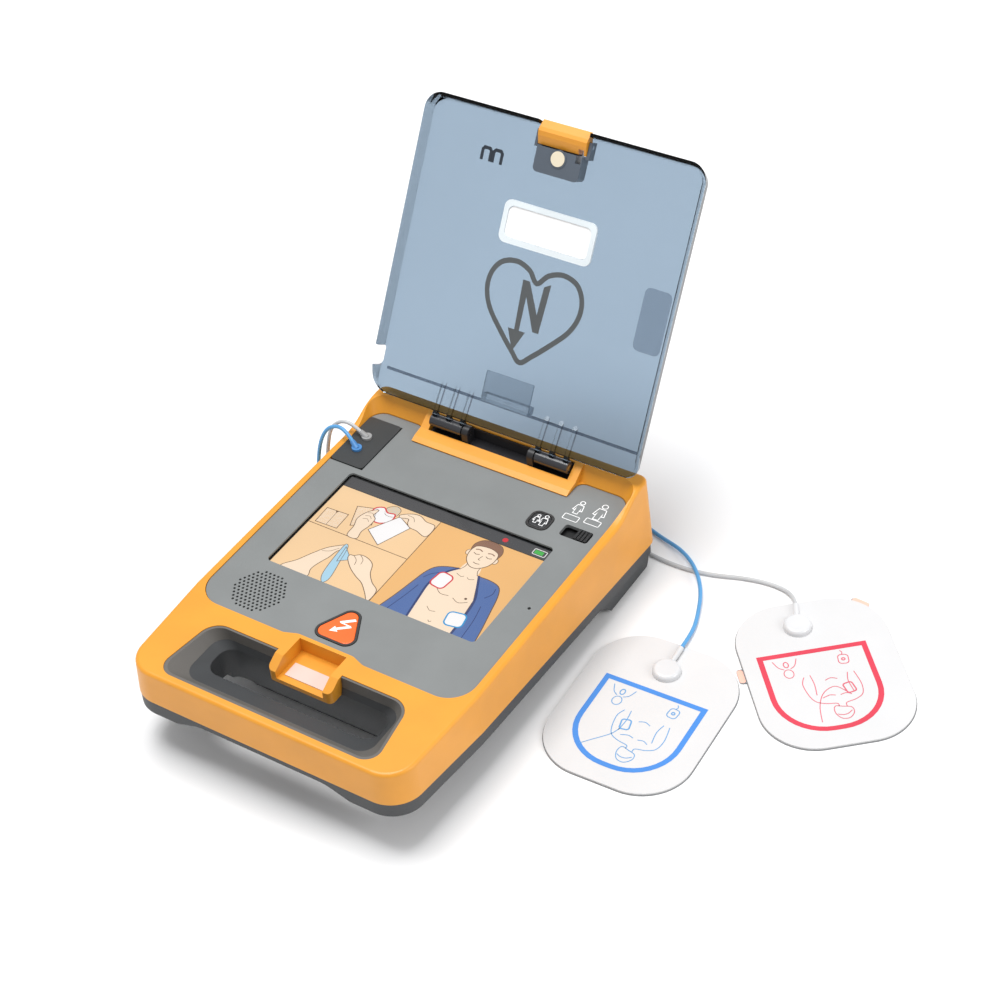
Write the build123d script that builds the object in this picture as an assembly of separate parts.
from build123d import *
import math
import os

# Portable defibrillator with a clear hinged lid, two electrode pads and their leads.
# Millimetres. X runs across the width, Y from the handle to the lid hinge, Z up. Z = 0 is the plane under the feet.

# ---------------------------------------------------------------- driving dimensions
WIDTH = 210.0            # across the housing at its parting line
LENGTH = 288.0           # from the handle's front to the rear wall
FRONT_Y = -127.5         # front of the handle bar
RIM_Z = 65.0             # flat top of the orange rim
RIDGE_Z = 75.0           # top of the raised rear ridge
LID_TOP_Z = 78.0         # outer face of the closed lid
WALL = 3.0               # housing wall
DRAFT = 0.06             # side wall draft, per mm of height
GAP = 0.3                # seam between fixed pieces
PLAY = 0.4               # room round a piece that moves

REAR_Y = FRONT_Y + LENGTH
HALF_W = WIDTH / 2
HINGE_Y = REAR_Y - 19.0

# housing outline
FRONT_TAPER = 4.5        # how much narrower each side is at the front
TAPER_START_Y = -48.0
FRONT_CORNER_R = 22.0
REAR_CORNER_R = 10.0
BASE_Z = 20.0            # where the outline has its full width
EDGE_R = 2.5             # soft edge round the rim
RIDGE_FRONT_Y = HINGE_Y + 6.5       # the rim is at full height here
RAMP_START_Y = RIDGE_FRONT_Y - 38.0  # and starts to rise here
RIDGE_DEPTH = 5.0
RIDGE_BACK_R = 8.0

# slanted parting line between the orange and the dark housing
PARTING_Z = 33.3         # at Y = 0
PARTING_SLOPE = -0.066   # rises toward the handle

# faceplate
PLATE_HALF_W = HALF_W - 8.3
PLATE_FRONT_Y = -57.8
PLATE_REAR_Y = HINGE_Y
PLATE_T = 2.4
PLATE_DROP = 0.6         # below the rim
PLATE_FRONT_R = 18.0
PLATE_REAR_R = 10.0
NOTCH_HALF_W = 20.0      # shallow step in the front edge, behind the latch pocket
NOTCH_DEPTH = 3.3
NOTCH_SLANT = 9.0
PLATE_Z = RIM_Z - PLATE_DROP

# hinge
HINGE_Z = RIDGE_Z - 1.0
BARREL_R = 4.2
PIN_R = 2.0
PIN_PLAY = 0.05
BARREL_IN_X = 28.0
BARREL_LENGTH = 24.0
HINGE_BAY_HALF_W = 53.0
BAR_HALF_W = 59.0        # orange bar in front of the hinge
BAR_FRONT_Y = HINGE_Y - 16.0
BAR_REAR_Y = HINGE_Y - 4.7
BAR_RISE = 3.2
BAY_REAR_Y = HINGE_Y + 5.8
BAY_FLOOR_Z = 64.0
LUG_T = 4.5
LID_OPEN_ANGLE = 120.4   # from closed to the open stop

# lid tray (its sizes are for the closed lid)
LID_HALF_W = PLATE_HALF_W + 4.3
LID_FRONT_Y = -65.8
LID_T = 2.5
LID_WALL = 2.4
LID_SEAT_GAP = 0.5
LID_CORNER_R = 12.0
LID_DRAFT = 0.24         # its walls lean in toward the outer face, per mm of height
LID_EDGE_R = 5.0
LID_INNER_R = 1.0
CREASE_Y = HINGE_Y - 22.1
STRIP_REAR_Y = HINGE_Y - 6.1
STRIP_DROP = 3.5
RIB_T = 3.0
RIB_X = (28.5, 39.0, 49.5)
LEAD_GATE_Y = (103.8, 117.4)
LEAD_GATE_TOP_Z = 75.3

LID_SLOT_X = (11.8, 15.6)    # slot through the lid beside the latch
LID_SLOT_Y = (-54.0, -45.0)

# lid latch
BOSS_HALF_W = 16.3
BOSS_Y = (-59.9, -33.6)
BOSS_Z = 66.6
MAGNET_Y = -44.7
MAGNET_R = 4.8
MAGNET_RING = 1.0
LATCH_HALF_W = 17.4
LATCH_REAR_Y = -50.6
LATCH_CREST_Y = -59.0
LATCH_PIVOT = (-56.5, 71.8)
LATCH_PIN_R = 1.2
LATCH_ANGLE = 8.0
CHEEK_T = 1.8            # side plates that carry the latch pin

# handle
GRIP_REAR_Y = -70.5
GRIP_FRONT_Y = -119.3
GRIP_REAR_HALF_W = 71.5
GRIP_FRONT_HALF_W = 78.5
GRIP_REAR_R = 13.0
GRIP_FRONT_R = 10.0
GRIP_SEAM_Z = 57.0
GRIP_SEAM_SET = 9.5      # how far the funnel has closed in at its seam
GRIP_HOLE_REAR_Y = -74.0
GRIP_HOLE_FRONT_Y = -97.0
GRIP_HOLE_HALF_W = 61.0
GRIP_HOLE_R = 9.0
GRIP_LEDGE_Z = 52.0
INSERT_LIP = 2.2

# latch pocket
POCKET_HALF_W = 17.0
POCKET_REAR_Y = -57.4
POCKET_FRONT_Y = -83.5
POCKET_FLOOR_Z = 54.5
POCKET_WALL = 6.0

# display
SCREEN_HALF_W = 76.5
SCREEN_Y = (-11.0, 81.5)
SCREEN_RECESS = 1.3
GLASS_T = 1.5
PANEL_T = 6.0

# controls
SHOCK_Y = -36.0
SHOCK_HALF_W = 15.5
SHOCK_LENGTH = 26.0
SHOCK_CORNER_R = 5.0
SHOCK_RING = 1.6
SHOCK_RISE = 0.5
SHOCK_TRAVEL = 1.5
MODE_X, MODE_Y = 55.4, 99.0
MODE_SIDE = 12.5
MODE_RING = 1.6
MODE_TRAVEL = 1.0
CAP_HEIGHT = 6.0
SWITCH_X, SWITCH_Y = 81.6, 99.0
SWITCH_SLOT = (20.0, 10.5)
SWITCH_KNOB = (9.0, 8.6)
SWITCH_TRAVEL = 9.0
SPEAKER_X, SPEAKER_Y = -63.3, -36.0
SPEAKER_R = 19.0
SPEAKER_HOLE_D = 1.7
SPEAKER_PITCH = 3.0
MIC_X, MIC_Y = 90.0, 29.3
MIC_HOLE_D = 2.2

# pads connector
PLUG_X = (-96.0, -71.8)
PLUG_Y = (86.5, 133.5)
PLUG_T = 9.0
BLUE_EXIT = (-86.0, 101.7)
GREY_EXIT = (-86.5, 114.0)
PORT_R = 3.4
PORT_H = 1.6
PORT_NECK = 6.0
BLUE_LEAN = (-0.75, 0.33, 0.5)   # which way each lead leaves its port
GREY_LEAN = (-0.8, 0.05, 0.5)

# underside
BAND_H = 10.0            # dark band below the parting line
HULL_HALF_W = 78.0
HULL_FRONT_Y = -63.0
FOOT_FRONT_Y = 92.0
FOOT_HALF_W = 101.0
FOOT_PAD_H = 1.5
FOOT_PAD_R = 7.0
FEET = (
    ("front_left", -56.0, -44.0),
    ("front_right", 56.0, -44.0),
    ("centre", 0.0, -3.0),
    ("rear_left", -84.0, 126.0),
    ("rear_right", 84.0, 126.0),
)

SCOOP_HALF_W = 46.0      # raised middle of the handle bar's underside
SCOOP_TOP_Z = 37.5
SCOOP_RUN = 38.0         # how far each end takes to come down

# fixings and parts inside
SCREWS = ((36.0, -49.0), (64.0, 136.0))
SCREW_R = 1.5
SCREW_HEAD_R = 3.0
SCREW_HEAD_Z = 8.0
SCREW_POST_R = 5.0
CAPACITOR_R = 16.0
CAPACITOR_LENGTH = 70.0
CAPACITOR_Y = -27.0
CAPACITOR_Z = 21.5
CONTACT_X = (-8.0, 8.0)
CONTACT_Y = 75.0
CONTACT_R = 1.2
BOARD_Z = 38.0
BOARD = (150.0, 150.0, 1.6)
CONTROL_BOARD_Z = 50.0

# battery
BATTERY = (96.0, 62.0, 24.0)
BATTERY_Y = 56.0
BATTERY_TRAVEL = 45.0
RELEASE = (26.0, 12.0, 3.0)
RELEASE_Y = 12.0
RELEASE_TRAVEL = 4.0

# pads and leads
PAD_HALF_W = 48.0
PAD_HALF_L = 61.0
PAD_R = 33.0
PAD_T = 1.2
PAD_LINER_T = 0.6
DOME_R = 9.0
DOME_H = 4.0
BLUE_PAD = (160.5, 38.0, 2.0)
RED_PAD = (242.0, 121.5, 41.0)
BLUE_DOME = (-1.5, 36.5)
RED_DOME = (-6.5, 40.0)
BLUE_SLEEVE = (-0.05, 1.0, 12.0)     # direction and length of the sleeve that leads into each dome
RED_SLEEVE = (-0.5, 0.86, 9.0)
RED_TABS = ((36.5, 52.5, -45.0), (-49.0, 7.0, 90.0))
TAB = (12.0, 7.0)
SLEEVE_Z = 3.6
LEAD_D = 2.6
LEAD_Z = 1.45            # centre of a lead that lies on the table
COIL_TURN_R = 14.5
COIL_TURNS_WIDE = 4
COIL_LAYERS = 2
GREY_COIL = (-60.0, 188.0)
BLUE_COIL = (-12.0, 188.0)

PARTS = {}


def keep(name, solid):
    """Store a finished solid under its node name."""
    solid.label = name
    PARTS[name] = solid
    return solid


# ---------------------------------------------------------------- shared shapes
def box(x0, x1, y0, y1, z0, z1):
    return Pos((x0 + x1) / 2, (y0 + y1) / 2, (z0 + z1) / 2) * Box(x1 - x0, y1 - y0, z1 - z0)


def rod_x(x0, x1, y, z, radius):
    return Pos((x0 + x1) / 2, y, z) * Rot(0, 90, 0) * Cylinder(radius, abs(x1 - x0))


def rod_z(x, y, z0, z1, radius):
    return Pos(x, y, (z0 + z1) / 2) * Cylinder(radius, z1 - z0)


def polygon_face(points):
    return make_face(Polyline(*points, close=True))


def rounded(points, radii):
    """Flat face through the points, with one corner radius for each (0 leaves it sharp)."""
    face = polygon_face(points)
    for point, radius in zip(points, radii):
        if radius > 0:
            corner = face.vertices().sort_by_distance(Vector(*point, 0))[0]
            face = fillet(corner, radius)
    return face


def mirrored_loop(right_half):
    """Points down the right side, then the same points back up the left side."""
    return right_half + [(-x, y) for x, y in reversed(right_half)]


def slab_x(points, half_w, x=0.0):
    """Solid with an outline given in (Y, Z), spread evenly about the plane at x."""
    face = polygon_face([(y, z) for y, z in points])
    placed = Plane(origin=(x - half_w, 0, 0), x_dir=(0, 1, 0), z_dir=(1, 0, 0)) * face
    return extrude(placed, 2 * half_w)


def lift(face, z):
    return Pos(0, 0, z) * face


def parting_z(y):
    return PARTING_Z + PARTING_SLOPE * y


def above_line(points):
    """Everything above a line in the (Y, Z) plane, across the full width."""
    first, last = points[0], points[-1]
    loop = points + [(last[0], 200), (first[0], 200)]
    return slab_x(loop, 200)


def below_line(points):
    first, last = points[0], points[-1]
    loop = points + [(last[0], -200), (first[0], -200)]
    return slab_x(loop, 200)


def parting_line(offset):
    return [(-300, parting_z(-300) + offset), (300, parting_z(300) + offset)]


# ---------------------------------------------------------------- outlines seen from above
def housing_outline(inset):
    width = HALF_W - inset
    right = [(width, REAR_Y - inset), (width, TAPER_START_Y), (width - FRONT_TAPER, FRONT_Y + inset)]
    radii = [max(REAR_CORNER_R - inset, 2), 0, max(FRONT_CORNER_R - inset, 2)]
    return rounded(mirrored_loop(right), radii + radii[::-1])


def housing_volume(inset, z_low, z_high, draft=DRAFT):
    """Drafted block inside the housing's outline, narrower toward z_high."""
    low = lift(housing_outline(inset + draft * (z_low - BASE_Z)), z_low)
    high = lift(housing_outline(inset + draft * (z_high - BASE_Z)), z_high)
    return loft([low, high])


def plate_outline(grow):
    bar = BAR_HALF_W - grow
    rear = PLATE_REAR_Y + grow
    side = PLATE_HALF_W + grow
    front = PLATE_FRONT_Y - grow
    right = [
        (bar, BAR_FRONT_Y + grow),
        (bar, rear),
        (side, rear),
        (side, front),
        (NOTCH_HALF_W + NOTCH_SLANT, front),
        (NOTCH_HALF_W, front + NOTCH_DEPTH),
    ]
    radii = [3, 6, PLATE_REAR_R, PLATE_FRONT_R, 8, 8]
    return rounded(mirrored_loop(right), radii + radii[::-1])


def grip_outline(grow):
    right = [
        (GRIP_REAR_HALF_W + grow, GRIP_REAR_Y + grow),
        (GRIP_FRONT_HALF_W + grow, GRIP_FRONT_Y - grow),
    ]
    radii = [GRIP_REAR_R + grow, GRIP_FRONT_R + grow]
    radii = [max(r, 1.0) for r in radii]
    return rounded(mirrored_loop(right), radii + radii[::-1])


def grip_hole(grow):
    right = [
        (GRIP_HOLE_HALF_W + grow, GRIP_HOLE_REAR_Y + grow),
        (GRIP_HOLE_HALF_W + grow, GRIP_HOLE_FRONT_Y - grow),
    ]
    return rounded(mirrored_loop(right), [GRIP_HOLE_R + grow] * 4)


def round_rect(width, length, radius, x=0.0, y=0.0):
    return Pos(x, y) * RectangleRounded(width, length, radius)


# ---------------------------------------------------------------- orange top housing
def rim_profile():
    """Top surface in (Y, Z): flat rim, S-shaped rise, ridge, rounded back. Returned as the space above it."""
    run = RIDGE_FRONT_Y - RAMP_START_Y
    rise = RIDGE_Z - RIM_Z
    radius = (run ** 2 + rise ** 2) / (4 * rise)
    half = math.asin(run / 2 / radius) / 2
    mid = (RAMP_START_Y + run / 2, RIM_Z + rise / 2)
    low_mid = (RAMP_START_Y + radius * math.sin(half), RIM_Z + radius * (1 - math.cos(half)))
    high_mid = (RIDGE_FRONT_Y - radius * math.sin(half), RIDGE_Z - radius * (1 - math.cos(half)))
    back_y = RIDGE_FRONT_Y + RIDGE_DEPTH
    back_mid = (back_y + RIDGE_BACK_R * math.sin(math.pi / 4), RIDGE_Z - RIDGE_BACK_R * (1 - math.cos(math.pi / 4)))
    back_end = (back_y + RIDGE_BACK_R, RIDGE_Z - RIDGE_BACK_R)
    edges = [
        Line((-300, RIM_Z), (RAMP_START_Y, RIM_Z)),
        ThreePointArc((RAMP_START_Y, RIM_Z), low_mid, mid),
        ThreePointArc(mid, high_mid, (RIDGE_FRONT_Y, RIDGE_Z)),
        Line((RIDGE_FRONT_Y, RIDGE_Z), (back_y, RIDGE_Z)),
        ThreePointArc((back_y, RIDGE_Z), back_mid, back_end),
        Polyline(back_end, (300, back_end[1]), (300, 200), (-300, 200), (-300, RIM_Z)),
    ]
    face = make_face(Curve() + edges)
    placed = Plane(origin=(-200, 0, 0), x_dir=(0, 1, 0), z_dir=(1, 0, 0)) * face
    return extrude(placed, 400)


def hinge_bar_profile():
    """Space above the orange bar, between the faceplate and the hinge bay."""
    return slab_x(
        [
            (BAR_FRONT_Y - 6, RIM_Z + 0.3),
            (BAR_FRONT_Y, RIM_Z + 0.3),
            (BAR_FRONT_Y + 4, RIM_Z + 0.6 * BAR_RISE),
            (BAR_REAR_Y, RIM_Z + BAR_RISE),
            (BAY_REAR_Y, RIDGE_Z),
            (BAY_REAR_Y, RIDGE_Z + 20),
            (BAR_FRONT_Y - 6, RIDGE_Z + 20),
        ],
        BAR_HALF_W + 0.5,
    )


def dish_cut():
    """The inner wall of the rim leans outward above the faceplate."""
    low = round_rect(2 * PLATE_HALF_W + 2 * GAP, 60, PLATE_REAR_R, y=PLATE_REAR_Y + GAP - 30)
    high = round_rect(2 * PLATE_HALF_W + 9, 60, PLATE_REAR_R + 4, y=PLATE_REAR_Y + 8 - 30)
    flare = loft([lift(low, RIM_Z), lift(high, RIDGE_Z + 2)])
    centre = box(-BAR_HALF_W, BAR_HALF_W, BAR_FRONT_Y, REAR_Y, RIM_Z - 1, RIDGE_Z + 10)
    return flare - centre


def top_housing():
    shell = housing_volume(0, BASE_Z, 80) - rim_profile()
    shell = fillet([e for e in shell.edges() if e.center().Z > RIM_Z - 0.5 and
                    (abs(e.center().X) > PLATE_HALF_W - 7 or e.center().Y < GRIP_FRONT_Y)], EDGE_R)
    cavity = housing_volume(WALL, BASE_Z - 1, RIM_Z - PLATE_DROP - PLATE_T - 2.5)
    grip_keep = extrude(lift(grip_outline(INSERT_LIP + WALL), -50), 200)
    shell -= (cavity & box(-200, 200, GRIP_REAR_Y - 80, 300, -50, 200)) - grip_keep
    shell += box(-POCKET_HALF_W - POCKET_WALL, POCKET_HALF_W + POCKET_WALL, POCKET_FRONT_Y,
                 POCKET_REAR_Y + POCKET_WALL, POCKET_FLOOR_Z - WALL, RIM_Z)
    shell -= extrude(lift(plate_outline(GAP), PLATE_Z - PLATE_T), 30) & box(-200, 200, -200, 300, 0, RIM_Z + 0.1)
    shell -= dish_cut()
    shell -= extrude(lift(plate_outline(-5), PLATE_Z - PLATE_T - 4), 6)
    shell -= hinge_bar_profile()
    shell -= box(-HINGE_BAY_HALF_W, HINGE_BAY_HALF_W, BAR_REAR_Y, BAY_REAR_Y, BAY_FLOOR_Z, RIDGE_Z + 9)
    spout = box(-POCKET_HALF_W - POCKET_WALL, POCKET_HALF_W + POCKET_WALL, POCKET_FRONT_Y,
                GRIP_REAR_Y + INSERT_LIP + 1, POCKET_FLOOR_Z - WALL, RIM_Z)
    spout -= slab_x([(GRIP_REAR_Y - 2, RIM_Z + 1), (POCKET_FRONT_Y - 1, RIM_Z - 6),
                     (POCKET_FRONT_Y - 1, RIM_Z + 5), (GRIP_REAR_Y - 2, RIM_Z + 5)], 50)
    spout_edges = spout.edges().filter_by(Axis.Z).group_by(Axis.Y)[0]
    spout = fillet(spout_edges, 3.5)
    under = parting_line(0)
    shell -= extrude(lift(grip_outline(0), GRIP_SEAM_Z), 20)
    shell -= extrude(lift(grip_outline(INSERT_LIP), -20), RIM_Z - INSERT_LIP + 20)
    shell += spout
    pocket = box(-POCKET_HALF_W, POCKET_HALF_W, POCKET_FRONT_Y - 1, POCKET_REAR_Y, POCKET_FLOOR_Z, RIM_Z + 5)
    shell -= pocket
    shell &= above_line(under)
    below = PLATE_Z - PLATE_T
    shell -= box(SWITCH_X - 14, SWITCH_X + 14, SWITCH_Y - 10, SWITCH_Y + 10, CONTROL_BOARD_Z, below)
    shell -= rod_z(SPEAKER_X, SPEAKER_Y, CONTROL_BOARD_Z, below, SPEAKER_R)
    shell -= extrude(lift(shock_outline(2.0), CONTROL_BOARD_Z), below - CONTROL_BOARD_Z)
    for x, y in screw_spots():
        shell += rod_z(x, y, parting_z(y) - 3, below - 0.1, SCREW_POST_R)
        shell -= rod_z(x, y, 0, parting_z(y) + 12, SCREW_R)
    return shell


# ---------------------------------------------------------------- dark bottom housing and grip
def grip_seam(grow):
    front = GRIP_FRONT_Y + GRIP_SEAM_SET
    right = [(GRIP_REAR_HALF_W - 5 + grow, GRIP_REAR_Y - 2 + grow), (GRIP_FRONT_HALF_W - 12 + grow, front - grow)]
    return rounded(mirrored_loop(right), [GRIP_FRONT_R + grow] * 4)


def spout_room():
    side = POCKET_HALF_W + POCKET_WALL + GAP
    return box(-side, side, POCKET_FRONT_Y - GAP, PLATE_FRONT_Y, POCKET_FLOOR_Z - WALL - GAP, RIM_Z + 10)


def battery_bay(grow, z_low):
    width, length, height = BATTERY
    bay = round_rect(width + 2 * grow, length + 2 * grow, 4 + grow, y=BATTERY_Y)
    return extrude(lift(bay, z_low), FOOT_PAD_H + height + grow - z_low)


def rear_foot():
    """Full-width foot under the rear, with a sloping front."""
    low = FOOT_FRONT_Y + 8
    top = parting_z(FOOT_FRONT_Y) - BAND_H
    foot = slab_x([(FOOT_FRONT_Y - 8, top + 1), (low, FOOT_PAD_H + 6), (low + 5, FOOT_PAD_H),
                   (REAR_Y - 9, FOOT_PAD_H), (REAR_Y - 7, 6), (REAR_Y, 25), (REAR_Y, 40), (FOOT_FRONT_Y - 8, 40)],
                  FOOT_HALF_W)
    return foot & housing_volume(3, -1, 60, draft=-0.02)


def hull():
    """Belly of the housing, closing in toward the table."""
    centre = (HULL_FRONT_Y + REAR_Y - 6) / 2
    length = REAR_Y - 6 - HULL_FRONT_Y
    low = round_rect(2 * HULL_HALF_W - 16, length - 14, 10, y=centre)
    high = round_rect(2 * HULL_HALF_W + 24, length, 14, y=centre)
    return loft([lift(low, FOOT_PAD_H), lift(high, parting_z(0))])


def board_posts(z_low, z_high):
    posts = [rod_z(x, y, z_low, z_high, 3.5) for x in (-62, 62) for y in (-20, 110)]
    return Part() + posts


def bottom_housing():
    band = housing_volume(1.6, -1, 60, draft=0.0) & above_line(parting_line(-BAND_H))
    outside = band + hull() + rear_foot()
    under_cut = below_line(parting_line(0))
    body = outside & under_cut
    hollow = housing_volume(1.6 + WALL, -1, 60, draft=0.0) & above_line(parting_line(-BAND_H + WALL))
    centre = (HULL_FRONT_Y + REAR_Y - 6) / 2
    length = REAR_Y - 6 - HULL_FRONT_Y - 2 * WALL
    low = round_rect(2 * HULL_HALF_W - 16 - 2 * WALL, length - 14, 8, y=centre)
    high = round_rect(2 * HULL_HALF_W + 24 - 2 * WALL, length, 12, y=centre)
    hollow += loft([lift(low, FOOT_PAD_H + WALL), lift(high, 60)])
    hollow = hollow & box(-200, 200, GRIP_REAR_Y + 8, 300, -10, 100)
    body -= hollow
    body += (battery_bay(PLAY + WALL, FOOT_PAD_H) & outside)
    body += board_posts(FOOT_PAD_H + 1, BOARD_Z)

    ring = extrude(lift(grip_outline(INSERT_LIP - GAP), parting_z(GRIP_FRONT_Y) - 12), 80)
    ring &= box(-200, 200, -200, 200, -10, GRIP_SEAM_Z - 0.1)
    body += ring
    funnel = loft([lift(grip_seam(0), GRIP_SEAM_Z), lift(grip_hole(0), GRIP_LEDGE_Z)])
    body -= funnel
    body -= extrude(lift(grip_seam(0), GRIP_SEAM_Z - 0.11), 5)
    body -= extrude(lift(grip_hole(0), -5), 80)
    body -= spout_room()
    end = SCOOP_HALF_W + SCOOP_RUN
    scoop = rounded([(-end, 24), (end, 24), (SCOOP_HALF_W, SCOOP_TOP_Z), (-SCOOP_HALF_W, SCOOP_TOP_Z)], [0, 0, 25, 25])
    scoop_face = Plane(origin=(0, FRONT_Y - 10, 0), x_dir=(1, 0, 0), z_dir=(0, -1, 0)) * scoop
    body -= extrude(scoop_face, -(GRIP_HOLE_FRONT_Y - FRONT_Y + 30)) & box(-200, 200, -200, GRIP_HOLE_REAR_Y, 0, 100)
    body -= battery_bay(PLAY, -5)
    room = RELEASE[0] / 2 + 6
    body += box(-room, room, RELEASE_Y - 10, BATTERY_Y - BATTERY[1] / 2 - PLAY - 1, FOOT_PAD_H + 1,
                FOOT_PAD_H + RELEASE[2] + 3)
    body -= release_shape(PLAY / 2, RELEASE_TRAVEL)
    body += box(-26, 26, CAPACITOR_Y - 9, CAPACITOR_Y + 9, FOOT_PAD_H + 1, CAPACITOR_Z - 8)
    body -= rod_x(-60, 60, CAPACITOR_Y, CAPACITOR_Z, CAPACITOR_R + 0.05)
    for x in CONTACT_X:
        body -= rod_z(x, CONTACT_Y, 10, BATTERY[2] + 20, CONTACT_R + GAP)
    for x, y in screw_spots():
        body += rod_z(x, y, FOOT_PAD_H + 0.5, parting_z(y) - 3, SCREW_POST_R)
        body -= rod_z(x, y, FOOT_PAD_H - 2, parting_z(y), SCREW_R + 0.1)
        body -= rod_z(x, y, FOOT_PAD_H - 2, SCREW_HEAD_Z, SCREW_HEAD_R + 0.4)
    return body


def release_shape(grow, travel):
    """Slider with a flange on each side, and the slot that it runs in."""
    width, length, height = RELEASE
    y0 = RELEASE_Y - length / 2 - grow
    y1 = RELEASE_Y + length / 2 + travel + grow
    body = box(-width / 2 - grow, width / 2 + grow, y0, y1, FOOT_PAD_H - 5 * grow, FOOT_PAD_H + height)
    flange = box(-width / 2 - 2 - grow, width / 2 + 2 + grow, y0, y1, FOOT_PAD_H + height / 2 - grow,
                 FOOT_PAD_H + height + grow)
    return body + flange


def screw_spots():
    return [(side * x, y) for side in (-1, 1) for x, y in SCREWS]


def handle_insert():
    """Soft funnel lining the upper part of the handle opening."""
    ring = extrude(lift(grip_outline(-GAP / 2), GRIP_SEAM_Z), RIM_Z - 0.5 - GRIP_SEAM_Z)
    ring += extrude(lift(grip_outline(INSERT_LIP - GAP), GRIP_SEAM_Z), RIM_Z - INSERT_LIP - GAP / 2 - GRIP_SEAM_Z)
    funnel = loft([lift(grip_seam(0), GRIP_SEAM_Z), lift(grip_outline(-1.4), RIM_Z + 0.2)])
    return ring - funnel - spout_room()


# ---------------------------------------------------------------- faceplate and what looks through it
def shock_outline(grow):
    """Triangle with rounded corners; its apex points at the screen."""
    base = SHOCK_Y - SHOCK_LENGTH / 2
    apex = SHOCK_Y + SHOCK_LENGTH / 2
    loop = [(0, apex + SHOCK_CORNER_R), (SHOCK_HALF_W, base), (-SHOCK_HALF_W, base)]
    return offset(rounded(loop, [SHOCK_CORNER_R] * 3), amount=grow) if grow else rounded(loop, [SHOCK_CORNER_R] * 3)


def mode_outline(grow):
    return round_rect(MODE_SIDE + 2 * grow, MODE_SIDE + 2 * grow, 3.5 + grow, MODE_X, MODE_Y)


def screen_outline(grow):
    y0, y1 = SCREEN_Y
    return round_rect(2 * SCREEN_HALF_W + 2 * grow, y1 - y0 + 2 * grow, 3 + grow, y=(y0 + y1) / 2)


def speaker_holes():
    rows = int((SPEAKER_R - 1.5) / SPEAKER_PITCH)
    cells = [(i + 0.5 * (j % 2), j * math.sqrt(3) / 2) for i in range(-rows - 1, rows + 2)
             for j in range(-rows - 1, rows + 2)]
    spots = [(SPEAKER_PITCH * i, SPEAKER_PITCH * j) for i, j in cells]
    return [(SPEAKER_X + x, SPEAKER_Y + y) for x, y in spots if math.hypot(x, y) < SPEAKER_R - 1.5]


def faceplate():
    plate = extrude(lift(plate_outline(0), PLATE_Z - PLATE_T), PLATE_T)
    under = PLATE_Z - PLATE_T - 1
    plate -= extrude(lift(screen_outline(0), under), 10)
    plate -= extrude(lift(screen_outline(2.5), under), PLATE_T - SCREEN_RECESS + 1)
    plate -= extrude(lift(shock_outline(SHOCK_RING + GAP), under), 10)
    plate -= extrude(lift(mode_outline(MODE_RING + GAP), under), 10)
    plate -= extrude(lift(round_rect(*SWITCH_SLOT, 2, SWITCH_X, SWITCH_Y), under), 10)
    plate -= box(-PLATE_HALF_W - 5, PLUG_X[1] + GAP, PLUG_Y[0] - GAP, PLUG_Y[1] + GAP, under, RIM_Z)
    plate -= rod_z(MIC_X, MIC_Y, under, RIM_Z, MIC_HOLE_D / 2)
    holes = [Pos(x, y, under) * Circle(SPEAKER_HOLE_D / 2) for x, y in speaker_holes()]
    plate -= extrude(Sketch() + holes, 10)
    return plate


def bezel(outline, ring, rise):
    """Raised ring round a push button; the cap slides inside it."""
    low = PLATE_Z - PLATE_T
    outer = extrude(lift(outline(ring), low), PLATE_T + rise)
    return outer - extrude(lift(outline(PLAY / 2), low - 1), 10)


def button_cap(outline, rise):
    """Cap with a flange underneath that stops it in the plate."""
    low = PLATE_Z - PLATE_T
    cap = extrude(lift(outline(0), low - CAP_HEIGHT / 2), PLATE_T + CAP_HEIGHT / 2 + rise)
    cap = fillet(cap.edges().group_by(Axis.Z)[-1], 0.6)
    return cap + extrude(lift(outline(1.2), low - CAP_HEIGHT / 2), CAP_HEIGHT / 2 - PLAY)


def switch_stem(x, y, travel):
    """Small key switch under a button; its stem ends just below the pressed cap."""
    top = PLATE_Z - PLATE_T - CAP_HEIGHT / 2 - travel - 0.2
    return box(x - 3, x + 3, y - 3, y + 3, CONTROL_BOARD_Z + 1.6, top - 1) + rod_z(x, y, top - 1, top, 1.7)


def patient_switch():
    """Slide switch: fixed body under the plate, ribbed knob in the slot."""
    low = PLATE_Z - PLATE_T
    x0 = SWITCH_X + SWITCH_TRAVEL / 2
    knob = box(x0 - SWITCH_KNOB[0] / 2, x0 + SWITCH_KNOB[0] / 2, SWITCH_Y - SWITCH_KNOB[1] / 2,
               SWITCH_Y + SWITCH_KNOB[1] / 2, low - 1.6, PLATE_Z + 0.3)
    for step in (-2.4, 0, 2.4):
        knob -= box(x0 + step - 0.5, x0 + step + 0.5, SWITCH_Y - 10, SWITCH_Y + 10, PLATE_Z - 0.5, PLATE_Z + 1)
    keeper = (SWITCH_KNOB[0] + 3, SWITCH_KNOB[1] + 4)
    knob += box(x0 - keeper[0] / 2, x0 + keeper[0] / 2, SWITCH_Y - keeper[1] / 2, SWITCH_Y + keeper[1] / 2,
                low - 2.4, low - 0.2)
    body = box(SWITCH_X - 13, SWITCH_X + 13, SWITCH_Y - 8.5, SWITCH_Y + 8.5, CONTROL_BOARD_Z + 1.6, low)
    body -= box(SWITCH_X - 11.5, SWITCH_X + 11.5, SWITCH_Y - 6.8, SWITCH_Y + 6.8, low - 2.6, low + 1)
    return knob, body


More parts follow.
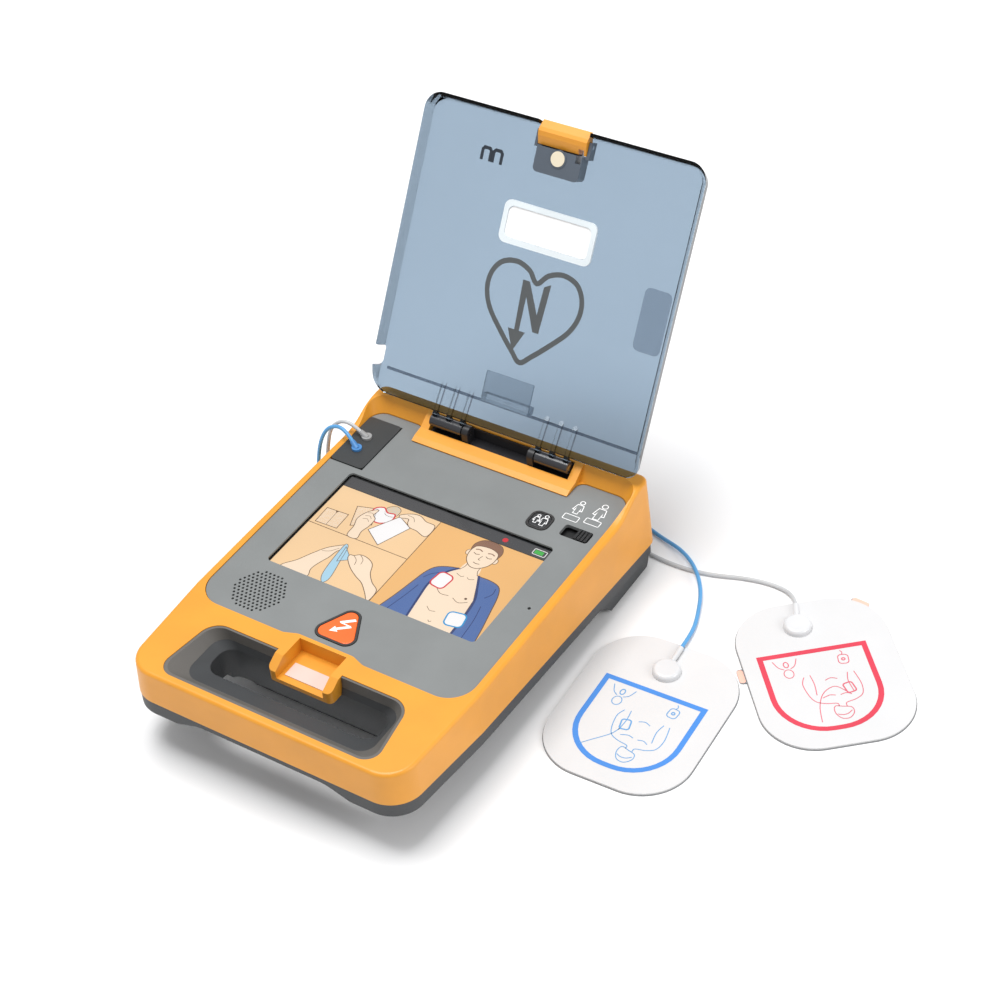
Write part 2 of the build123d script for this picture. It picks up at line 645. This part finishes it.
def pads_plug():
    """Connector at the left edge of the plate, with a port for each lead."""
    x0, x1 = PLATE_HALF_W, PLUG_X[1]
    y0, y1 = PLUG_Y
    plug = box(-x0, x1, y0, y1, PLATE_Z - PLATE_T, RIM_Z + 0.2)
    plug = fillet(plug.edges().filter_by(Axis.Z), 2.5)
    plug += box(-x0 + 8, x1 - 3, y0 + 5, y1 - 5, PLATE_Z - PLATE_T - PLUG_T, PLATE_Z - PLATE_T)
    socket = box(-x0 + 6, x1 - 1, y0 + 3, y1 - 3, CONTROL_BOARD_Z + 1.6, PLATE_Z - PLATE_T)
    socket -= box(-x0 + 8, x1 - 3, y0 + 5, y1 - 5, PLATE_Z - PLATE_T - PLUG_T, PLATE_Z + 1)
    return plug, socket


def port_sleeve(exit_xy, direction):
    """Tapered strain relief on the plug, leaning the way its lead leaves."""
    start = Vector(exit_xy[0], exit_xy[1], RIM_Z + 0.2)
    base = rod_z(exit_xy[0], exit_xy[1], RIM_Z + 0.2, RIM_Z + 0.2 + PORT_H, PORT_R)
    plane = Plane(origin=start, z_dir=direction)
    neck = plane * (Pos(0, 0, PORT_NECK / 2) * Cone(PORT_R * 0.72, LEAD_D / 2 + 0.45, PORT_NECK))
    bore_end = start + Vector(*direction).normalized() * PORT_NECK
    return (base + neck) & box(-200, 0, 0, 200, RIM_Z + 0.2, 100), bore_end


# ---------------------------------------------------------------- lid, drawn closed and then opened
def opened(solid):
    return Rot(0, 0, 0) * solid.rotate(Axis((0, HINGE_Y, HINGE_Z), (1, 0, 0)), -LID_OPEN_ANGLE)


def lid_outline(wall, z):
    """Outline of the tray at a height; the rear edge stays where the strip ends."""
    inset = wall + LID_DRAFT * (z - RIM_Z)
    side, front, rear = LID_HALF_W - inset, LID_FRONT_Y + inset, STRIP_REAR_Y - wall
    return rounded([(-side, front), (side, front), (side, rear), (-side, rear)],
                   [LID_CORNER_R - wall] * 2 + [LID_CORNER_R - wall - 3] * 2)


def lid_block(wall, sheet, edge_r):
    """Tray volume; its rear strip slopes down to the hinge."""
    top = LID_TOP_Z - sheet
    low = RIM_Z - 5
    block = loft([lift(lid_outline(wall, low), low), lift(lid_outline(wall, top), top)])
    if edge_r:
        block = fillet(block.edges().group_by(Axis.Z)[-1], edge_r)
    end = STRIP_REAR_Y + 5
    drop = STRIP_DROP * (end - CREASE_Y) / (STRIP_REAR_Y - CREASE_Y)
    return block - slab_x([(CREASE_Y, top), (end, top - drop), (end, top + 9), (CREASE_Y, top + 9)], LID_HALF_W + 1)


def lid_shell():
    shell = lid_block(0, 0, LID_EDGE_R) - lid_block(LID_WALL, LID_T, LID_INNER_R)
    shell &= Pos(0, 0, LID_SEAT_GAP) * rim_profile()
    ceiling = LID_TOP_Z - LID_T
    strip = ceiling - STRIP_DROP
    for x in RIB_X:
        for side in (-1, 1):
            shell += slab_x([(CREASE_Y - 5, ceiling + 0.2), (CREASE_Y - 2, 73.5), (HINGE_Y - 4.5, 69.9),
                             (HINGE_Y, HINGE_Z), (HINGE_Y - 2.8, HINGE_Z + 2.8), (STRIP_REAR_Y, strip + 1),
                             (CREASE_Y, ceiling + 1)], RIB_T / 2, side * x)
    for side in (-1, 1):
        middle = side * (BARREL_IN_X + BARREL_LENGTH / 2)
        shell -= rod_x(middle - 14, middle + 14, HINGE_Y, HINGE_Z, BARREL_R + 0.02)
    gate = rounded([(LEAD_GATE_Y[0], 60), (LEAD_GATE_Y[0], LEAD_GATE_TOP_Z), (LEAD_GATE_Y[1], LEAD_GATE_TOP_Z),
                    (LEAD_GATE_Y[1], 60)], [0, 3, 3, 0])
    shell -= extrude(Plane(origin=(-LID_HALF_W - 2, 0, 0), x_dir=(0, 1, 0), z_dir=(1, 0, 0)) * gate, 14)
    shell -= box(-LATCH_HALF_W - 1, LATCH_HALF_W + 1, LID_FRONT_Y - 5, LID_FRONT_Y + 5, 60, ceiling - 1.5)
    shell -= box(*LID_SLOT_X, *LID_SLOT_Y, 70, 90)
    return shell


def lid_barrel(side):
    x0 = side * BARREL_IN_X
    x1 = side * (BARREL_IN_X + BARREL_LENGTH)
    return rod_x(min(x0, x1), max(x0, x1), HINGE_Y, HINGE_Z, BARREL_R) - rod_x(-80, 80, HINGE_Y, HINGE_Z,
                                                                              PIN_R + PIN_PLAY)


def latch_housing():
    ceiling = LID_TOP_Z - LID_T
    block = extrude(lift(round_rect(2 * BOSS_HALF_W, BOSS_Y[1] - BOSS_Y[0], 3, y=sum(BOSS_Y) / 2), BOSS_Z),
                    ceiling - BOSS_Z)
    block -= box(-LATCH_HALF_W, LATCH_HALF_W, LID_FRONT_Y - 5, LATCH_REAR_Y + 2 * PLAY, 60, ceiling - 1)
    block += box(-BOSS_HALF_W, BOSS_HALF_W, LATCH_REAR_Y - 9, LATCH_REAR_Y + PLAY + 1, ceiling - 1, ceiling)
    for side in (-1, 1):
        x = side * (LATCH_HALF_W + PLAY + CHEEK_T / 2)
        block += box(x - CHEEK_T / 2, x + CHEEK_T / 2, LATCH_PIVOT[0] - 3, LATCH_REAR_Y + 2, LATCH_PIVOT[1] - 3, ceiling)
        block += box(min(x, side * (BOSS_HALF_W - 2)), max(x, side * (BOSS_HALF_W - 2)), LATCH_REAR_Y + PLAY,
                     LATCH_REAR_Y + 2, LATCH_PIVOT[1] - 3, ceiling)
    block -= box(*LID_SLOT_X, *LID_SLOT_Y, 60, 90)
    block += rod_z(0, MAGNET_Y, RIM_Z + 1.2, BOSS_Z + 1, MAGNET_R + MAGNET_RING)
    block -= rod_z(0, MAGNET_Y, 60, BOSS_Z + 3, MAGNET_R + 0.02)
    block -= rod_x(-30, 30, *LATCH_PIVOT, LATCH_PIN_R)
    return block


def lid_latch():
    """Sprung finger latch filling the notch in the lid's front wall."""
    ceiling = LID_TOP_Z - LID_T
    front = LID_FRONT_Y
    latch = slab_x([(LATCH_REAR_Y, 69), (LATCH_REAR_Y, ceiling - 1.2), (LATCH_PIVOT[0] - 1, ceiling - 1.2),
                    (LATCH_PIVOT[0] - 3, ceiling - 1.9),
                    (front, ceiling - 5), (front, 70.0), (front + 4.5, 66.5), (LATCH_CREST_Y, RIM_Z + 0.6),
                    (LATCH_CREST_Y + 3, 66.4)], LATCH_HALF_W)
    latch -= rod_x(-30, 30, *LATCH_PIVOT, LATCH_PIN_R + PIN_PLAY)
    latch -= box(*LID_SLOT_X, *LID_SLOT_Y, 60, 90)
    return latch


# ---------------------------------------------------------------- pads
def placed_on_pad(pad, shape):
    x, y, turn = pad
    return Pos(x, y, 0) * Rot(0, 0, turn) * shape


def pad_pieces(pad, dome_at, sleeve, tabs):
    sheet = round_rect(2 * PAD_HALF_W, 2 * PAD_HALF_L, PAD_R)
    liner = extrude(round_rect(2 * PAD_HALF_W + 1, 2 * PAD_HALF_L + 1, PAD_R + 0.5), PAD_LINER_T)
    backing = extrude(lift(sheet, PAD_LINER_T), PAD_T)
    top = PAD_LINER_T + PAD_T
    dome = rod_z(*dome_at, top, top + DOME_H, DOME_R)
    dome = fillet(dome.edges().group_by(Axis.Z)[-1], 2.5)
    for x, y, turn in tabs:
        liner += Pos(x, y, 0) * Rot(0, 0, turn) * extrude(round_rect(*TAB, 2), PAD_LINER_T)
    pieces = {"liner": liner, "backing": backing, "dome": dome}
    pieces = {name: placed_on_pad(pad, solid) for name, solid in pieces.items()}
    start, end = sleeve_ends(pad, dome_at, sleeve)
    plane = Plane(origin=start, z_dir=end - start)
    pieces["dome"] += plane * (Pos(0, 0, (end - start).length / 2) * Cylinder(LEAD_D / 2 + 0.45, (end - start).length))
    return pieces


def sleeve_ends(pad, dome_at, sleeve):
    """Middle of the dome's side, where the lead's sleeve starts, and the sleeve's far end."""
    x, y, turn = pad
    turn = math.radians(turn)
    centre = Vector(x + dome_at[0] * math.cos(turn) - dome_at[1] * math.sin(turn),
                    y + dome_at[0] * math.sin(turn) + dome_at[1] * math.cos(turn), SLEEVE_Z)
    way = Vector(sleeve[0], sleeve[1], 0).normalized()
    return centre + way * (DOME_R - 3), centre + way * (DOME_R + sleeve[2])


# ---------------------------------------------------------------- leads
def bend_radii(points):
    radii = []
    for a, b, c in zip(points, points[1:], points[2:]):
        turn = math.radians((b - a).get_angle(c - b))
        radii.append(0.45 * min((b - a).length, (c - b).length) / math.tan(turn / 2))
    return radii


def lead_tube(name, points):
    points = [Vector(*p) for p in points]
    radii = bend_radii(points)
    path = FilletPolyline(*points, radius=radii)
    section = Plane(origin=points[0], z_dir=points[1] - points[0]) * Circle(LEAD_D / 2)
    tube = sweep(section, path=path)
    area = math.pi * LEAD_D ** 2 / 4
    print(name, "length", round(path.length, 1), "least radius", round(min(radii), 1),
          "volume / (section x length)", round(tube.volume / area / path.length, 4))
    return tube


def coil(centre):
    half_width = COIL_TURNS_WIDE * LEAD_D / 2
    bottom = LEAD_Z - LEAD_D / 2
    top = bottom + COIL_LAYERS * LEAD_D
    ring = rod_z(*centre, bottom, top, COIL_TURN_R + half_width)
    ring -= rod_z(*centre, bottom - 1, top + 1, COIL_TURN_R - half_width)
    return fillet(ring.edges(), 1.0)


# ---------------------------------------------------------------- pieces of the main body
CEILING_Z = LID_TOP_Z - LID_T
PLATE_LOW_Z = PLATE_Z - PLATE_T

keep("top_housing", top_housing())
keep("bottom_housing", bottom_housing())
keep("handle_insert", handle_insert())
keep("faceplate", faceplate())
keep("status_window", box(-14, 15, -79, -68, POCKET_FLOOR_Z, POCKET_FLOOR_Z + 0.6))

glass_top = PLATE_Z - SCREEN_RECESS
keep("display_window", extrude(lift(screen_outline(2.3), glass_top - GLASS_T), GLASS_T))
panel_top = glass_top - GLASS_T
panel = extrude(lift(screen_outline(1.5), panel_top - PANEL_T), PANEL_T)
for x in (-70, 70):
    for y in (-6, 76):
        panel += rod_z(x, y, CONTROL_BOARD_Z + 1.6, panel_top - PANEL_T, 2.5)
keep("display_panel", panel)

driver = rod_z(SPEAKER_X, SPEAKER_Y, PLATE_LOW_Z - 3, PLATE_LOW_Z, SPEAKER_R - 0.6)
driver += Pos(SPEAKER_X, SPEAKER_Y, PLATE_LOW_Z - 5) * Cone(SPEAKER_R / 2, SPEAKER_R - 2, 4)
driver += rod_z(SPEAKER_X, SPEAKER_Y, CONTROL_BOARD_Z + 2.2, PLATE_LOW_Z - 7, SPEAKER_R / 2)
driver -= rod_z(SPEAKER_X, SPEAKER_Y, PLATE_LOW_Z - 1, PLATE_LOW_Z + 1, SPEAKER_R - 2)
keep("speaker_driver", driver)

keep("shock_bezel", bezel(shock_outline, SHOCK_RING, SHOCK_RISE))
keep("mode_bezel", bezel(mode_outline, MODE_RING, SHOCK_RISE))
keep("shock_button", button_cap(shock_outline, SHOCK_RISE))
keep("mode_button", button_cap(mode_outline, SHOCK_RISE))
knob, switch_body = patient_switch()
keep("patient_switch_knob", knob)
keep("patient_switch_body", switch_body)

plug, socket = pads_plug()
keep("pads_plug", plug)
keep("connector_socket", socket)
blue_port, blue_start = port_sleeve(BLUE_EXIT, BLUE_LEAN)
grey_port, grey_start = port_sleeve(GREY_EXIT, GREY_LEAN)
keep("blue_strain_relief", blue_port)
keep("grey_strain_relief", grey_port)

board = box(-88, 88, -43.5, 128, CONTROL_BOARD_Z, CONTROL_BOARD_Z + 1.6)
board += switch_stem(0, SHOCK_Y - 3, SHOCK_TRAVEL) + switch_stem(MODE_X, MODE_Y, MODE_TRAVEL)
keep("control_board", board)
width, length, thick = BOARD
keep("main_board", box(-width / 2, width / 2, 45 - length / 2, 45 + length / 2, BOARD_Z, BOARD_Z + thick))
can = rod_x(-CAPACITOR_LENGTH / 2, CAPACITOR_LENGTH / 2, CAPACITOR_Y, CAPACITOR_Z, CAPACITOR_R)
keep("shock_capacitor", fillet(can.edges(), 1.5))
core = box(-18, 18, 98, 122, FOOT_PAD_H + WALL, 27)
keep("transformer", core + box(-12, 12, 94, 126, FOOT_PAD_H + WALL + 4, 23))
contacts = box(-14, 14, CONTACT_Y - 5, CONTACT_Y + 5, BATTERY[2] + FOOT_PAD_H + PLAY + WALL, 34)
for x in CONTACT_X:
    contacts += rod_z(x, CONTACT_Y, BATTERY[2] + FOOT_PAD_H + 0.3, 30, CONTACT_R)
keep("battery_contacts", contacts)

half = HINGE_BAY_HALF_W - GAP
bracket = box(-half, half, BAR_REAR_Y + GAP, BAY_REAR_Y - GAP, BAY_FLOOR_Z, BAY_FLOOR_Z + 2)
bracket += box(-half, half, HINGE_Y + BARREL_R + PLAY, BAY_REAR_Y - GAP, BAY_FLOOR_Z, RIDGE_Z - 1)
for side in (-1, 1):
    x0, x1 = sorted((side * (BARREL_IN_X - 1), side * (BARREL_IN_X - 1 - LUG_T)))
    bracket += box(x0, x1, HINGE_Y - BARREL_R, HINGE_Y + BARREL_R, BAY_FLOOR_Z, HINGE_Z)
    bracket += rod_x(x0, x1, HINGE_Y, HINGE_Z, BARREL_R)
    bracket -= rod_x(x0 - 1, x1 + 1, HINGE_Y, HINGE_Z, PIN_R + 0.02)
keep("hinge_bracket", bracket)
for name, side in (("left", -1), ("right", 1)):
    ends = sorted((side * (BARREL_IN_X - 1 - LUG_T), side * (BARREL_IN_X + BARREL_LENGTH)))
    keep(f"hinge_pin_{name}", rod_x(*ends, HINGE_Y, HINGE_Z, PIN_R))

for name, x, y in FEET:
    foot = rod_z(x, y, 0, FOOT_PAD_H, FOOT_PAD_R)
    keep(f"foot_{name}", fillet(foot.edges().group_by(Axis.Z)[0], 0.5))
screws = []
for x, y in screw_spots():
    screw = rod_z(x, y, SCREW_HEAD_Z, parting_z(y) + 10, SCREW_R)
    screw += rod_z(x, y, SCREW_HEAD_Z - 2.4, SCREW_HEAD_Z, SCREW_HEAD_R)
    screws.append(screw - rod_z(x, y, SCREW_HEAD_Z - 3, SCREW_HEAD_Z - 1, 1.3))
for name, screw in zip(("front_left", "rear_left", "front_right", "rear_right"), screws):
    keep(f"screw_{name}", screw)

# ---------------------------------------------------------------- battery
pack = battery_bay(0, FOOT_PAD_H) & box(-100, 100, -100, 200, 0, FOOT_PAD_H + BATTERY[2])
pack -= box(-22, 22, BATTERY_Y - 20, BATTERY_Y - 12, 0, FOOT_PAD_H + 3)
keep("battery_pack", pack)
keep("battery_release", release_shape(0, 0) - box(-9, 9, RELEASE_Y - 1, RELEASE_Y + 1, 0, FOOT_PAD_H + 0.8))

# ---------------------------------------------------------------- lid, standing open
keep("lid_shell", opened(lid_shell()))
keep("lid_barrel_left", opened(lid_barrel(-1)))
keep("lid_barrel_right", opened(lid_barrel(1)))
holder = extrude(lift(round_rect(67.2, 27.6, 5, y=2.2), CEILING_Z - 1.5), 1.5)
pocket = extrude(lift(round_rect(60.6, 20.4, 4, y=2.2), CEILING_Z - 2), 3)
keep("label_holder", opened(holder - pocket))
keep("label_card", opened(extrude(lift(round_rect(60.2, 20.0, 4, y=2.2), CEILING_Z - 0.8), 0.8)))
keep("lid_tongue", opened(box(-17.5, 17.5, CREASE_Y - 22.4, CREASE_Y - 2.4, 68, 69.5) +
                          box(-17.5, 17.5, CREASE_Y - 7.4, CREASE_Y - 2.4, 68, CEILING_Z)))
keep("latch_housing", opened(latch_housing()))
keep("lid_magnet", opened(rod_z(0, MAGNET_Y, RIM_Z + 0.8, BOSS_Z + 3, MAGNET_R)))
pin_half = LATCH_HALF_W + PLAY + CHEEK_T
keep("latch_pin", opened(rod_x(-pin_half, pin_half, *LATCH_PIVOT, LATCH_PIN_R)))
keep("lid_latch", opened(lid_latch()))

# ---------------------------------------------------------------- electrode pads and their leads
for name, pad, dome_at, sleeve, tabs in (
    ("blue", BLUE_PAD, BLUE_DOME, BLUE_SLEEVE, ()),
    ("red", RED_PAD, RED_DOME, RED_SLEEVE, RED_TABS),
):
    for piece, solid in pad_pieces(pad, dome_at, sleeve, tabs).items():
        keep(f"{name}_pad_{piece}", solid)

blue_end = sleeve_ends(BLUE_PAD, BLUE_DOME, BLUE_SLEEVE)[1]
red_end = sleeve_ends(RED_PAD, RED_DOME, RED_SLEEVE)[1]
blue_out = Vector(*BLUE_LEAN).normalized()
grey_out = Vector(*GREY_LEAN).normalized()
COIL_OUT_R = COIL_TURN_R + (COIL_TURNS_WIDE - 1) * LEAD_D / 2
low = LEAD_Z
blue_over = [blue_start, blue_start + blue_out * 6.5, (-104.5, 108.0, 73.2), (-113.2, 106.0, 69.0),
             (-117.3, 101.5, 57.0), (-118.0, 97.0, 36.0), (-117.8, 95.0, 16.0), (-118.2, 100.5, low + 0.2),
             (-118.8, 114.0, low), (-118.0, 138.0, low), (-116.0, 163.0, low), (-106.0, 188.0, low),
             (-87.0, 206.5, low), (-62.0, 214.5, low), (-39.0, 209.0, low), (-31.5, 197.0, low),
             (BLUE_COIL[0] - COIL_OUT_R, BLUE_COIL[1] - 2.0, low)]
grey_over = [grey_start, grey_start + grey_out * 7.0, (-106.0, 113.4, 73.0), (-113.5, 111.0, 66.0),
             (-114.8, 107.0, 53.0), (-115.0, 103.0, 34.0), (-114.4, 101.0, 16.0), (-114.6, 106.5, low + 0.2),
             (-115.0, 120.0, low), (-114.2, 138.0, low), (-111.5, 156.0, low), (-102.5, 168.5, low),
             (-89.0, 172.0, low), (-80.0, 180.5, low), (GREY_COIL[0] - COIL_OUT_R, GREY_COIL[1] + 2.0, low)]
blue_on = [(BLUE_COIL[0] + COIL_OUT_R, BLUE_COIL[1] - 3.0, low), (BLUE_COIL[0] + COIL_OUT_R + 0.8, 198.0, low),
           (15.0, 206.5, low), (33.0, 206.0, low), (60.0, 194.5, low), (90.0, 181.5, low), (120.0, 172.0, low + 3.0),
           (142.0, 150.5, low + 3.0), (153.0, 123.0, low + 0.6), (156.0, 108.5, low + 1.2), blue_end]
grey_on = [(GREY_COIL[0] + COIL_OUT_R, GREY_COIL[1] + 3.0, low), (GREY_COIL[0] + COIL_OUT_R + 0.6, 177.5, low),
           (-35.0, 168.0, low), (-17.0, 164.6, low), (16.0, 164.0, low), (52.0, 165.6, low), (86.0, 164.6, low),
           (112.0, 160.6, low), (138.0, 162.6, low), (164.0, 172.5, low), (184.0, 175.0, low),
           (197.0, 171.0, low + 0.9), red_end]
keep("blue_lead_plug_side", lead_tube("blue_lead_plug_side", blue_over))
keep("blue_lead_coil", coil(BLUE_COIL))
keep("blue_lead_pad_side", lead_tube("blue_lead_pad_side", blue_on))
keep("grey_lead_plug_side", lead_tube("grey_lead_plug_side", grey_over))
keep("grey_lead_coil", coil(GREY_COIL))
keep("grey_lead_pad_side", lead_tube("grey_lead_pad_side", grey_on))

# ---------------------------------------------------------------- one STEP file for each piece
os.makedirs("parts", exist_ok=True)
for name, solid in PARTS.items():
    export_step(solid, f"parts/{name}.step")
print(len(PARTS), "pieces")
